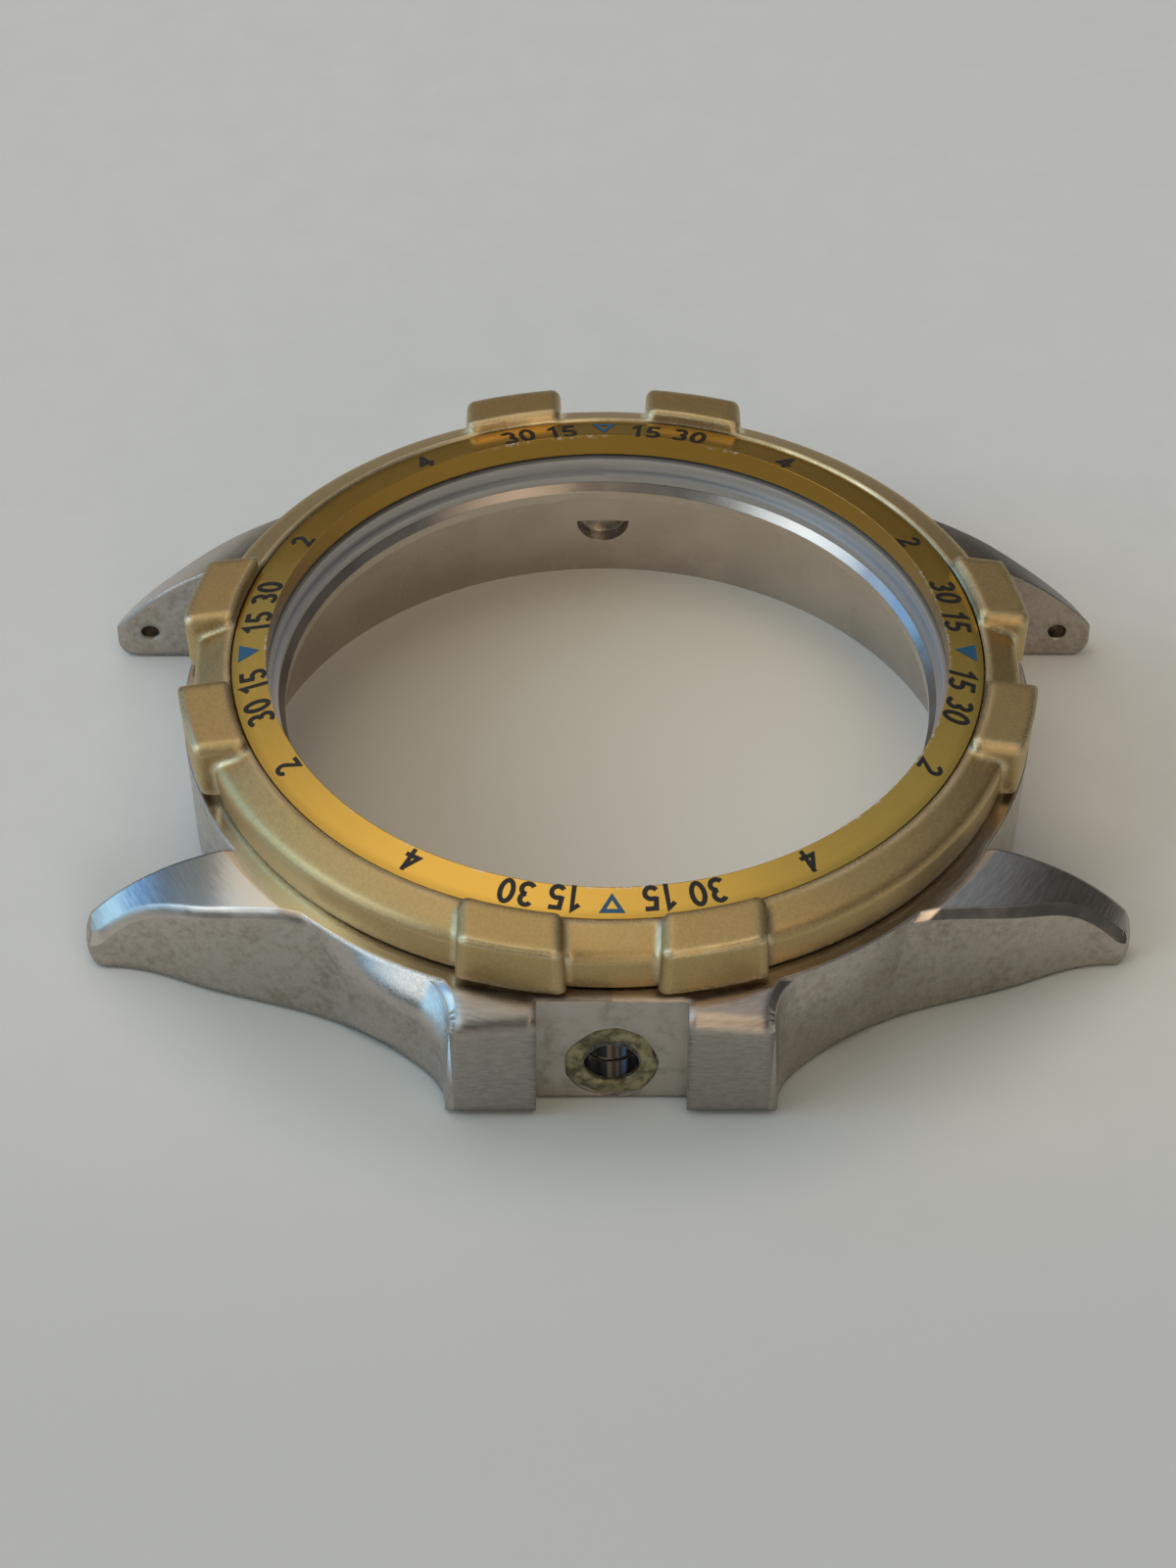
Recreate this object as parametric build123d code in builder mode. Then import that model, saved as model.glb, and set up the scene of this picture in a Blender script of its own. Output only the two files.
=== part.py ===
# Empty watch case: the steel middle case with its crown tube and seals, and the turning bezel.
# Millimetres, +Z up out of the dial side, +X to the crown, +Y to twelve o'clock.
# The origin is on the case axis, in the plane that the case rests on.
from math import asin, cos, degrees, hypot, radians, sin
import os

from build123d import *

# Middle case, round body
body_radius = 19.85
body_draft = 0.25
rim_bevel = 0.55
shelf_height = 6.2
case_wall = 2.92
shelf_width = 2.95
flange_width = 1.83
flange_depth = 2.2
flange_bevel = 0.4
flange_lip = 0.5
seat_rise = 0.7
neck_wall = 0.6
neck_rise = 1.94
neck_bevel = 0.08

# Lugs
lug_gap = 20.3
lug_projection = 4.15
lug_tip_width = 1.4
lug_tip_margin = 0.565
lug_shoulder_step = 0.45
lug_middle_reach_share = 0.449
lug_middle_height_share = 0.742
lug_foot_height = 0.15
lug_root_depth = 1.65
lug_nose_rounding = 1.15
lug_corner_rounding = 0.85
flank_bevel = 0.35
bar_hole_diameter = 0.9
bar_hole_depth = 1.1
bar_hole_setback = 1.6
bar_hole_height = 1.6

# Flank curve of the crown side, from the lug tip to the guard: shares of the way along and across
flank_reach_shares = (0.688, 0.375, 0.084)
flank_top_shares = (0.162, 0.338, 0.647)
flank_foot_shares = (0.139, 0.334, 0.692)
# Flank curve of the plain side, from the lug tip to the round bulge of the case
waist_reach_shares = (0.542, 0.229)
waist_top_shares = (0.162, 0.28)
waist_foot_shares = (0.139, 0.267)
bulge_step = 0.3
bulge_reach_share = 0.52

# Crown guards, their recess and the crown tube
guard_step = 1.05
guard_half_span = 7.1
guard_foot_spread = 0.3
guard_corner_bevel = 0.38
guard_edge_rounding = 0.8
guard_foot_bevel = 0.35
recess_step = 0.1
recess_half_span = 3.35
crown_height = 2.2
tube_bore_diameter = 2.5
tube_wall = 0.3
tube_inner_setback = 0.17
braze_ring_width = 0.5
braze_ring_depth = 0.12
tube_seal_section = 0.16
tube_seal_setback = 1.45

# Half-moon pocket opposite the crown
pocket_radius = 1.3
pocket_height = 3.15
pocket_depth = 0.7

# Bezel
bezel_gap = 0.12
bezel_setback = 0.6
bezel_undercut = 0.12
bezel_foot_bevel = 0.12
bezel_band_rise = 1.8
bezel_shoulder_width = 0.4
bezel_shoulder_rise = 2.32
bezel_slope_width = 1.22
bezel_crest_rise = 2.88
bezel_crest_width = 0.06
bezel_bore_clearance = 0.08
bezel_lip_gap = 0.18
bezel_lip_clearance = 0.115

# Riders on the bezel
rider_step = 0.78
rider_foot_step = 0.6
rider_inner_setback = 0.07
rider_inner_rise = 0.49
rider_outer_rise = 0.12
rider_foot_rise = 0.4
rider_root_width = 0.73
rider_root_depth = 0.15
rider_near_side = 2.0
rider_width = 4.9
rider_rounding = 0.42
rider_edge_rounding = 0.16
rider_draft = 3.0
rider_quarters = 4

# Bezel insert and the adhesive under it
insert_width = 1.595
insert_sink = 0.06
insert_rise = 0.4
insert_thickness = 0.42
insert_skirt_wall = 0.42
insert_skirt_gap = 0.12
insert_pocket_gap = 0.09
adhesive_thickness = 0.08
adhesive_margin = 0.12

# Bezel click balls and their springs
notch_count = 24
click_count = 4
click_first_angle = 45.0
click_setback = 1.2
ball_diameter = 1.0
ball_rise = 0.27
ball_clearance = 0.04
notch_clearance = 0.06
click_hole_depth = 2.5
spring_wire = 0.14
spring_turns = 4
spring_side_clearance = 0.04
spring_end_clearance = 0.02

# Retaining wire, bezel seal, crystal seal and back seal
wire_section = 0.44
wire_rise = 0.75
wire_clearance = 0.04
wire_gap_angle = 14.0
wire_gap_centre = 30.0
seal_section = 0.4
seal_rise = 1.55
seal_clearance = 0.03
crystal_seal_wall = 0.58
crystal_seal_foot_width = 0.3
crystal_seal_foot = 0.4
crystal_seal_clearance = 0.02
crystal_seal_drop = 0.05
back_groove_margin = 0.82
back_groove_width = 0.7
back_groove_depth = 0.28
back_seal_clearance = 0.03

# Shared by every cut, and the steepest share of a normal that still counts as a side
overrun = 1.0
level_share = 0.25
quarter_turn = 90.0
half_turn = 180.0
whole_turn = 360.0

# Radii and heights of the middle case
cavity_radius = body_radius - case_wall
flange_radius = cavity_radius - flange_width
neck_radius = body_radius - shelf_width
neck_height = shelf_height + neck_rise
seat_height = shelf_height + seat_rise
under_flange_height = seat_height - flange_depth
back_groove_radius = cavity_radius + back_groove_margin
click_radius = neck_radius + click_setback

# Places of the lugs and guards
lug_reach = body_radius + lug_projection
lug_inner = lug_gap / 2
lug_tip = lug_inner + lug_tip_width
lug_shoulder_radius = body_radius + lug_shoulder_step
lug_inner_radius = body_radius - lug_root_depth
lug_outer_radius = hypot(lug_reach, lug_tip) + lug_tip_margin
lug_middle_radius = lug_shoulder_radius + lug_middle_reach_share * (lug_outer_radius - lug_shoulder_radius)
lug_middle_height = lug_middle_height_share * shelf_height
bar_hole_reach = lug_reach - bar_hole_setback
guard_face = body_radius + guard_step
guard_foot_half_span = guard_half_span + guard_foot_spread
bulge_radius = body_radius + bulge_step
bulge_reach = bulge_reach_share * lug_reach

# Crown tube and its recess
recess_face = body_radius - recess_step
tube_bore_radius = tube_bore_diameter / 2
tube_radius = tube_bore_radius + tube_wall
tube_inner_reach = cavity_radius + tube_inner_setback
tube_seal_reach = recess_face - tube_seal_setback
braze_ring_radius = tube_radius + braze_ring_width

# Radii and heights of the bezel, its insert and its riders
bezel_radius = body_radius - bezel_setback
bezel_foot_radius = bezel_radius - bezel_undercut
bezel_shoulder_radius = bezel_radius - bezel_shoulder_width
bezel_crest_radius = bezel_shoulder_radius - bezel_slope_width
pocket_wall_radius = bezel_crest_radius - bezel_crest_width
bezel_bore_radius = neck_radius + bezel_bore_clearance
bezel_foot_height = shelf_height + bezel_gap
bezel_band_height = shelf_height + bezel_band_rise
bezel_shoulder_height = shelf_height + bezel_shoulder_rise
bezel_crest_height = shelf_height + bezel_crest_rise
bezel_lip_height = neck_height + bezel_lip_gap
insert_outer_radius = pocket_wall_radius - insert_pocket_gap
insert_inner_radius = insert_outer_radius - insert_width
insert_outer_height = bezel_crest_height - insert_sink
insert_inner_height = insert_outer_height + insert_rise
insert_skirt_foot = neck_height + insert_skirt_gap
skirt_radius = insert_inner_radius + insert_skirt_wall
bezel_lip_radius = skirt_radius + bezel_lip_clearance
pocket_drop = insert_thickness + adhesive_thickness
rider_radius = bezel_radius + rider_step
rider_foot_radius = bezel_radius + rider_foot_step
rider_root_radius = bezel_foot_radius - rider_root_width
rider_inner_radius = bezel_crest_radius + rider_inner_setback
rider_inner_height = bezel_crest_height + rider_inner_rise
rider_outer_height = bezel_crest_height + rider_outer_rise
rider_foot_height = shelf_height + rider_foot_rise
rider_length = rider_radius - rider_inner_radius + overrun

# Wire, seals and click balls
wire_centre_radius = bezel_bore_radius
wire_height = shelf_height + wire_rise
seal_centre_radius = neck_radius + seal_clearance + seal_section / 2
seal_height = shelf_height + seal_rise
ball_height = shelf_height + ball_rise - ball_diameter / 2
seal_wall_radius = neck_radius - neck_wall - crystal_seal_clearance
crystal_seal_radius = seal_wall_radius - crystal_seal_wall
crystal_seal_foot_radius = crystal_seal_radius - crystal_seal_foot_width

os.makedirs("parts", exist_ok=True)


def save(piece, name):
    """Label a finished piece and write it as its own file."""
    piece.part.label = name
    export_step(piece.part, f"parts/{name}.step")


def flank_points(inner_reach, reach_shares, width_shares):
    """Points of a flank curve from the lug tip towards the middle of the case."""
    return [
        (lug_tip + width * (guard_face - lug_tip), inner_reach + reach * (lug_reach - inner_reach))
        for reach, width in zip(reach_shares, width_shares)
    ]


def lug_outline(flank, waist, end_direction):
    """Half plan outline of one side, from its inner face round the lug tip to the waist."""
    corner = lug_corner_rounding
    Line((lug_inner, 0), (lug_inner, lug_reach))
    Line((lug_inner, lug_reach), (lug_tip - corner, lug_reach))
    TangentArc((lug_tip - corner, lug_reach), (lug_tip, lug_reach - corner), tangent=(1, 0))
    Spline((lug_tip, lug_reach - corner), *flank, waist, tangents=[(0, -1), end_direction])


def crown_side_outline(width_shares, half_span):
    """Plan outline of the crown side: two lugs and the block of the crown guards."""
    corner = guard_face - guard_corner_bevel
    flank = flank_points(guard_half_span, flank_reach_shares, width_shares)
    lug_outline(flank, (corner, half_span), (1, 0))
    Line((corner, half_span), (guard_face, half_span - guard_corner_bevel))
    Line((guard_face, half_span - guard_corner_bevel), (guard_face, 0))
    mirror(about=Plane.XZ)


def plain_side_outline(width_shares):
    """Plan outline of the side without a crown: two lugs and a round bulge."""
    angle = asin(bulge_reach / bulge_radius)
    join = (bulge_radius * cos(angle), bulge_reach)
    flank = flank_points(bulge_reach, waist_reach_shares, width_shares)
    lug_outline(flank, join, (sin(angle), -cos(angle)))
    CenterArc((0, 0), bulge_radius, 0, degrees(angle))
    mirror(about=Plane.XZ)


def lug_blank():
    """Half section of the turned blank that the lugs and guards are cut from."""
    ThreePointArc(
        (lug_shoulder_radius, shelf_height),
        (lug_middle_radius, lug_middle_height),
        (lug_outer_radius, lug_foot_height),
    )
    Polyline(
        (lug_outer_radius, lug_foot_height),
        (lug_inner_radius, lug_foot_height),
        (lug_inner_radius, shelf_height),
        (lug_shoulder_radius, shelf_height),
    )


def nose_outline():
    """Half side view of a pair of lugs, with their noses rounded under."""
    Line((0, 0), (lug_reach - lug_nose_rounding, 0))
    TangentArc((lug_reach - lug_nose_rounding, 0), (lug_reach, lug_nose_rounding), tangent=(1, 0))
    Line((lug_reach, lug_nose_rounding), (lug_reach, shelf_height))
    Line((lug_reach, shelf_height), (0, shelf_height))
    mirror(about=Plane.YZ)


def horns(foot_outline, top_outline):
    """Two lugs and what joins them on one side: the turned blank inside a leaning plan outline."""
    with BuildPart() as block:
        with BuildSketch(Plane.XY):
            with BuildLine():
                foot_outline()
            make_face()
        with BuildSketch(Plane.XY.offset(shelf_height)):
            with BuildLine():
                top_outline()
            make_face()
        loft(ruled=True)
        with BuildSketch(Plane.XZ):
            with BuildLine():
                lug_blank()
            make_face()
        revolve(axis=Axis.Z, mode=Mode.INTERSECT)
        with BuildSketch(Plane.YZ):
            with BuildLine():
                nose_outline()
            make_face()
        extrude(amount=lug_outer_radius, mode=Mode.INTERSECT)
    return block


def rim_edges(block):
    """Edges between the top and the outer sides, without those of the inner faces and the tips."""
    tops = block.faces().filter_by(lambda face: face.normal_at().Z > level_share)
    sides = block.faces().filter_by(lambda face: abs(face.normal_at().Z) < level_share)
    shared = [edge for edge in tops.edges() if edge in sides.edges()]
    return ShapeList(edge for edge in shared if edge.center().X > lug_tip)


# Crown side: the flanks are bevelled along their top edge and the guards are rounded over
crown_side = horns(
    lambda: crown_side_outline(flank_foot_shares, guard_foot_half_span),
    lambda: crown_side_outline(flank_top_shares, guard_half_span),
)
with crown_side:
    guard_edges = rim_edges(crown_side).filter_by_position(Axis.Y, -guard_half_span, guard_half_span)
    fillet(guard_edges.sort_by(Axis.X)[-1], radius=guard_edge_rounding)
    flanks = rim_edges(crown_side).filter_by(lambda edge: abs(edge.center().Y) > guard_half_span)
    chamfer(flanks, length=flank_bevel)
    guard_front = crown_side.faces().filter_by(Axis.X).sort_by(Axis.X)[-1]
    guard_foot = guard_front.edges().group_by(Axis.Z)[0]
    chamfer(guard_foot, length=guard_foot_bevel)

# Plain side: the same lugs with a round bulge between them
plain_side = horns(
    lambda: plain_side_outline(waist_foot_shares),
    lambda: plain_side_outline(waist_top_shares),
)

# Middle case: round body with its cavity, crystal seat and neck for the bezel
with BuildPart() as midcase:
    with BuildSketch(Plane.XZ):
        with BuildLine():
            Polyline(
                (cavity_radius, 0),
                (body_radius - body_draft - rim_bevel, 0),
                (body_radius - body_draft, rim_bevel),
                (body_radius, shelf_height),
                (neck_radius, shelf_height),
                (neck_radius, neck_height - neck_bevel),
                (neck_radius - neck_bevel, neck_height),
                (neck_radius - neck_wall, neck_height),
                (neck_radius - neck_wall, seat_height),
                (flange_radius + flange_bevel, seat_height),
                (flange_radius, seat_height - flange_bevel),
                (flange_radius, seat_height - flange_bevel - flange_lip),
                (cavity_radius, under_flange_height),
                close=True,
            )
        make_face()
    revolve(axis=Axis.Z)
    add(crown_side.part)
    add(plain_side.part, rotation=(0, 0, half_turn))

    # Groove for the back seal and groove for the retaining wire of the bezel
    with BuildSketch(Plane.XY):
        Circle(back_groove_radius + back_groove_width)
        Circle(back_groove_radius, mode=Mode.SUBTRACT)
    extrude(amount=back_groove_depth, mode=Mode.SUBTRACT)
    with BuildSketch(Plane.XY.offset(wire_height - wire_section / 2 - wire_clearance)):
        Circle(neck_radius + overrun)
        Circle(wire_centre_radius - wire_section / 2 - wire_clearance, mode=Mode.SUBTRACT)
    extrude(amount=wire_section + 2 * wire_clearance, mode=Mode.SUBTRACT)

    # Recess between the crown guards
    with BuildSketch(Plane.YZ.offset(recess_face)):
        with Locations((0, shelf_height / 2)):
            Rectangle(2 * recess_half_span, shelf_height + 2 * overrun)
    extrude(amount=overrun + guard_face - recess_face, mode=Mode.SUBTRACT)

    # Hole for the crown tube, with a shallow seat for the brazing round it
    with Locations(Plane.YZ.offset(recess_face)):
        with Locations((0, crown_height)):
            CounterBoreHole(
                tube_radius,
                braze_ring_radius,
                braze_ring_depth,
                depth=recess_face - cavity_radius + overrun,
            )

    # Half-moon pocket in the cavity wall opposite the crown
    with BuildSketch(Plane.YZ.offset(-cavity_radius - pocket_depth)):
        with BuildLine():
            Line((pocket_radius, pocket_height), (-pocket_radius, pocket_height))
            CenterArc((0, pocket_height), pocket_radius, half_turn, half_turn)
        make_face()
    extrude(amount=pocket_depth + overrun, mode=Mode.SUBTRACT)

    # Holes for the click springs and balls
    with Locations(Plane.XY.offset(shelf_height)):
        with PolarLocations(click_radius, click_count, start_angle=click_first_angle):
            Hole(ball_diameter / 2 + ball_clearance, depth=click_hole_depth)

    # Blind holes for the spring bars in the inner faces of the lugs
    for side in (-1, 1):
        with BuildSketch(Plane.YZ.offset(side * lug_inner)):
            with Locations((bar_hole_reach, bar_hole_height), (-bar_hole_reach, bar_hole_height)):
                Circle(bar_hole_diameter / 2)
        extrude(amount=side * bar_hole_depth, mode=Mode.SUBTRACT)
save(midcase, "midcase")

# Crown tube: a sleeve in the hole of the case, with a groove for its seal
seal_groove_radius = tube_bore_radius + tube_seal_section
with BuildPart() as crown_tube:
    with BuildSketch(Plane.YZ.offset(tube_inner_reach)):
        with Locations((0, crown_height)):
            Circle(tube_radius)
            Circle(tube_bore_radius, mode=Mode.SUBTRACT)
    extrude(amount=recess_face - tube_inner_reach)
    with BuildSketch(Plane.YZ.offset(tube_seal_reach - tube_seal_section / 2)):
        with Locations((0, crown_height)):
            Circle(seal_groove_radius)
    extrude(amount=tube_seal_section, mode=Mode.SUBTRACT)
save(crown_tube, "crown_tube")

# Brazing round the mouth of the crown tube
with BuildPart() as crown_tube_braze:
    with BuildSketch(Plane.YZ.offset(recess_face - braze_ring_depth)):
        with Locations((0, crown_height)):
            Circle(braze_ring_radius)
            Circle(tube_radius, mode=Mode.SUBTRACT)
    extrude(amount=braze_ring_depth)
    split(bisect_by=Plane.XY.offset(rim_bevel), keep=Keep.TOP)
save(crown_tube_braze, "crown_tube_braze")

# Seal ring in the crown tube
with BuildPart() as crown_tube_seal:
    with Locations((tube_seal_reach, 0, crown_height)):
        Torus(
            seal_groove_radius - tube_seal_section / 2,
            tube_seal_section / 2,
            rotation=(0, quarter_turn, 0),
        )
save(crown_tube_seal, "crown_tube_seal")

# Bezel insert: a sloping printed ring with a skirt down its inner edge
insert_fall = insert_rise / insert_width


def insert_top(radius):
    """Height of the sloping top of the insert at a radius."""
    return insert_outer_height + insert_fall * (insert_outer_radius - radius)


with BuildPart() as bezel_insert:
    with BuildSketch(Plane.XZ):
        with BuildLine():
            Polyline(
                (insert_inner_radius, insert_skirt_foot),
                (skirt_radius, insert_skirt_foot),
                (skirt_radius, insert_top(skirt_radius) - insert_thickness),
                (insert_outer_radius, insert_outer_height - insert_thickness),
                (insert_outer_radius, insert_outer_height),
                (insert_inner_radius, insert_inner_height),
                close=True,
            )
        make_face()
    revolve(axis=Axis.Z)
save(bezel_insert, "bezel_insert")

# Adhesive between the insert and the bezel
adhesive_inner_radius = skirt_radius + adhesive_margin
adhesive_outer_radius = insert_outer_radius - adhesive_margin
with BuildPart() as insert_adhesive:
    with BuildSketch(Plane.XZ):
        with BuildLine():
            Polyline(
                (adhesive_inner_radius, insert_top(adhesive_inner_radius) - insert_thickness),
                (adhesive_outer_radius, insert_top(adhesive_outer_radius) - insert_thickness),
                (adhesive_outer_radius, insert_top(adhesive_outer_radius) - pocket_drop),
                (adhesive_inner_radius, insert_top(adhesive_inner_radius) - pocket_drop),
                close=True,
            )
        make_face()
    revolve(axis=Axis.Z)
save(insert_adhesive, "insert_adhesive")

# One rider of the bezel: a raised block beside a quarter axis, with drafted sides and a sloping top
with BuildPart() as rider:
    with BuildSketch(Plane.XY.offset(rider_foot_height)):
        with Locations((rider_inner_radius, rider_near_side + rider_width / 2)):
            Rectangle(2 * rider_length, rider_width)
    extrude(amount=rider_inner_height - rider_foot_height, taper=rider_draft)
    with BuildSketch(Plane.XZ):
        with BuildLine():
            Polyline(
                (rider_inner_radius, bezel_crest_height - rider_root_depth),
                (rider_root_radius, rider_foot_height),
                (rider_foot_radius, rider_foot_height),
                (rider_radius, rider_outer_height),
                (rider_inner_radius, rider_inner_height),
                close=True,
            )
        make_face()
    revolve(axis=Axis.Z, mode=Mode.INTERSECT)
    upper_edges = rider.edges().filter_by(lambda edge: edge.center().Z > rider_foot_height + overrun)
    fillet(upper_edges.filter_by(GeomType.CIRCLE, reverse=True), radius=rider_rounding)
    top_edges = rider.edges().filter_by(lambda edge: edge.center().Z > bezel_crest_height)
    fillet(top_edges.filter_by(GeomType.CIRCLE), radius=rider_edge_rounding)

# Turning bezel
with BuildPart() as bezel_ring:
    with BuildSketch(Plane.XZ):
        with BuildLine():
            Polyline(
                (bezel_radius, bezel_band_height),
                (bezel_foot_radius, bezel_foot_height + bezel_foot_bevel),
                (bezel_foot_radius - bezel_foot_bevel, bezel_foot_height),
                (bezel_bore_radius, bezel_foot_height),
                (bezel_bore_radius, bezel_lip_height),
                (bezel_lip_radius, bezel_lip_height),
                (bezel_lip_radius, insert_top(bezel_lip_radius) - pocket_drop),
                (pocket_wall_radius, insert_top(pocket_wall_radius) - pocket_drop),
                (pocket_wall_radius, bezel_crest_height),
                (bezel_crest_radius, bezel_crest_height),
                (bezel_shoulder_radius, bezel_shoulder_height),
            )
            Spline(
                (bezel_shoulder_radius, bezel_shoulder_height),
                (bezel_radius, bezel_band_height),
                tangents=[
                    (bezel_slope_width, bezel_shoulder_height - bezel_crest_height),
                    (0, -1),
                ],
            )
        make_face()
    revolve(axis=Axis.Z)

    # Grooves in the bore for the retaining wire and for the seal
    with BuildSketch(Plane.XY.offset(wire_height - wire_section / 2)):
        Circle(wire_centre_radius + wire_section / 2)
    extrude(amount=wire_section, mode=Mode.SUBTRACT)
    with BuildSketch(Plane.XY.offset(seal_height - seal_section / 2)):
        Circle(seal_centre_radius + seal_section / 2)
    extrude(amount=seal_section, mode=Mode.SUBTRACT)

    # Notches underneath for the click balls
    with PolarLocations(click_radius, notch_count):
        with Locations((0, 0, ball_height)):
            Sphere(ball_diameter / 2 + notch_clearance, mode=Mode.SUBTRACT)

    # Riders, in pairs about each quarter
    for half in (rider.part, rider.part.mirror(Plane.XZ)):
        with PolarLocations(0, rider_quarters):
            add(half)
save(bezel_ring, "bezel_ring")

# Open wire ring that keeps the bezel on the neck
with BuildPart() as bezel_retaining_wire:
    with BuildSketch(Plane.XZ.rotated((0, 0, wire_gap_centre + wire_gap_angle / 2))):
        with Locations((wire_centre_radius, wire_height)):
            Circle(wire_section / 2)
    revolve(axis=Axis.Z, revolution_arc=whole_turn - wire_gap_angle)
save(bezel_retaining_wire, "bezel_retaining_wire")

# Seal between the bezel and the neck
with BuildPart() as bezel_seal:
    with Locations((0, 0, seal_height)):
        Torus(seal_centre_radius, seal_section / 2)
save(bezel_seal, "bezel_seal")

# Flat seal in the groove of the rim that meets the back
with BuildPart() as back_seal:
    with BuildSketch(Plane.XY.offset(back_seal_clearance)):
        Circle(back_groove_radius + back_groove_width - back_seal_clearance)
        Circle(back_groove_radius + back_seal_clearance, mode=Mode.SUBTRACT)
    extrude(amount=back_groove_depth - back_seal_clearance)
save(back_seal, "back_seal")

# Crystal seal: a ring with a foot that lies on the seat inside the neck
with BuildPart() as crystal_seal:
    with BuildSketch(Plane.XZ):
        with BuildLine():
            Polyline(
                (crystal_seal_foot_radius, seat_height),
                (seal_wall_radius, seat_height),
                (seal_wall_radius, neck_height - crystal_seal_drop),
                (crystal_seal_radius, neck_height - crystal_seal_drop),
                (crystal_seal_radius, seat_height + crystal_seal_foot),
                (crystal_seal_foot_radius, seat_height + crystal_seal_foot),
                close=True,
            )
        make_face()
    revolve(axis=Axis.Z)
save(crystal_seal, "crystal_seal")

# Click balls and their springs, one of each in every hole
ball_foot = ball_height - ball_diameter / 2
spring_foot = shelf_height - click_hole_depth + spring_end_clearance + spring_wire / 2
spring_length = ball_foot - spring_end_clearance - spring_wire / 2 - spring_foot
spring_radius = ball_diameter / 2 + ball_clearance - spring_side_clearance - spring_wire / 2
for number in range(click_count):
    turn = click_first_angle + number * whole_turn / click_count
    place = (click_radius * cos(radians(turn)), click_radius * sin(radians(turn)))
    with BuildPart() as click_ball:
        with Locations((*place, ball_height)):
            Sphere(ball_diameter / 2)
    save(click_ball, f"click_ball_{number + 1}")
    with BuildPart() as click_spring:
        with BuildLine() as coil:
            Helix(spring_length / spring_turns, spring_length, spring_radius, center=(*place, spring_foot))
        with BuildSketch(Plane(origin=coil.line @ 0, z_dir=coil.line % 0)):
            Circle(spring_wire / 2)
        sweep(path=coil.line, is_frenet=True)
    save(click_spring, f"click_spring_{number + 1}")
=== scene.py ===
"""Looks of an empty watch case with a turning bezel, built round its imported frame.

Everything is in metres in the row frame: +Z up, +X to the crown, +Y to twelve o'clock.
"""

import math

import bpy
import numpy as np
from mathutils import Matrix, Vector


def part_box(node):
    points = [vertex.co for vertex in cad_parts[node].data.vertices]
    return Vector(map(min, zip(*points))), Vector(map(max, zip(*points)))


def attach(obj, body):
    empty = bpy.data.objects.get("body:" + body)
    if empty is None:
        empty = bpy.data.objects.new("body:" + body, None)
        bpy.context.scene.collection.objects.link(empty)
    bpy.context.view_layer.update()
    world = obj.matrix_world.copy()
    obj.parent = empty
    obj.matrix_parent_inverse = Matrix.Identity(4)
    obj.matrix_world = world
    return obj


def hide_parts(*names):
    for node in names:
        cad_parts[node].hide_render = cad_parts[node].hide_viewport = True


bl_info = {
    "name": "Watch Case",
    "version": (1, 0, 0),
    "blender": (4, 5, 0),
    "location": "View3D > Sidebar > Watch Case",
    "description": "Finishes of a watch case and the print, brazing and paper that go with it",
    "category": "Object",
}

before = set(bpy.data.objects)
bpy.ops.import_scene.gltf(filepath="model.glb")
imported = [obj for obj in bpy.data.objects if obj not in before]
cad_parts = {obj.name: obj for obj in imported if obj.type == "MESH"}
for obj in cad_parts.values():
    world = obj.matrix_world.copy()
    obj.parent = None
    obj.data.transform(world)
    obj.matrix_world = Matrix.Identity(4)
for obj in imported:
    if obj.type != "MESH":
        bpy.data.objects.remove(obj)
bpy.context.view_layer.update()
mm = 0.001

# Sizes read from the frame

insert_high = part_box("bezel_insert")[1]
braze_low, braze_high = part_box("crown_tube_braze")
tube_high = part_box("crown_tube")[1]


class CaseColours(bpy.types.PropertyGroup):
    """Colours of the metals, the print and the paper."""

    steel: bpy.props.FloatVectorProperty(
        name="Steel", description="Colour of the case metal", subtype="COLOR", size=3, min=0, max=1,
        default=(0.55, 0.50, 0.45),
    )
    gold: bpy.props.FloatVectorProperty(
        name="Bezel gold", description="Colour of the blasted bezel", subtype="COLOR", size=3, min=0, max=1,
        default=(0.56, 0.41, 0.185),
    )
    bright_gold: bpy.props.FloatVectorProperty(
        name="Insert gold", description="Colour of the printed ring", subtype="COLOR", size=3, min=0, max=1,
        default=(0.80, 0.51, 0.11),
    )
    brazing: bpy.props.FloatVectorProperty(
        name="Brazing", description="Colour of the stain round the crown tube", subtype="COLOR", size=3,
        min=0, max=1, default=(0.23, 0.205, 0.12),
    )
    ink: bpy.props.FloatVectorProperty(
        name="Ink", description="Colour of the printed numbers", subtype="COLOR", size=3, min=0, max=1,
        default=(0.012, 0.012, 0.012),
    )
    blue_ink: bpy.props.FloatVectorProperty(
        name="Blue ink", description="Colour of the triangles", subtype="COLOR", size=3, min=0, max=1,
        default=(0.02, 0.12, 0.24),
    )
    paper: bpy.props.FloatVectorProperty(
        name="Paper", description="Colour of the ground", subtype="COLOR", size=3, min=0, max=1,
        default=(0.93, 0.95, 0.93),
    )


class CaseSizes(bpy.types.PropertyGroup):
    """Sizes of the print and of the finishes."""

    numeral_height: bpy.props.FloatProperty(
        name="Numeral height", description="Height of a printed number", default=1.32 * mm,
        subtype="DISTANCE", unit="LENGTH",
    )
    print_rise: bpy.props.FloatProperty(
        name="Print thickness", description="How far the print stands off the ring", default=0.012 * mm,
        subtype="DISTANCE", unit="LENGTH",
    )
    triangle_side: bpy.props.FloatProperty(
        name="Triangle", description="Side of a printed triangle", default=1.15 * mm,
        subtype="DISTANCE", unit="LENGTH",
    )
    edge_rounding: bpy.props.FloatProperty(
        name="Worn edge", description="Radius over which edges catch the light", default=0.16 * mm,
        subtype="DISTANCE", unit="LENGTH",
    )


def colours():
    """The scene's colours."""
    return bpy.context.scene.watch_case_colours


def sizes():
    """The scene's sizes."""
    return bpy.context.scene.watch_case_sizes


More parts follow.
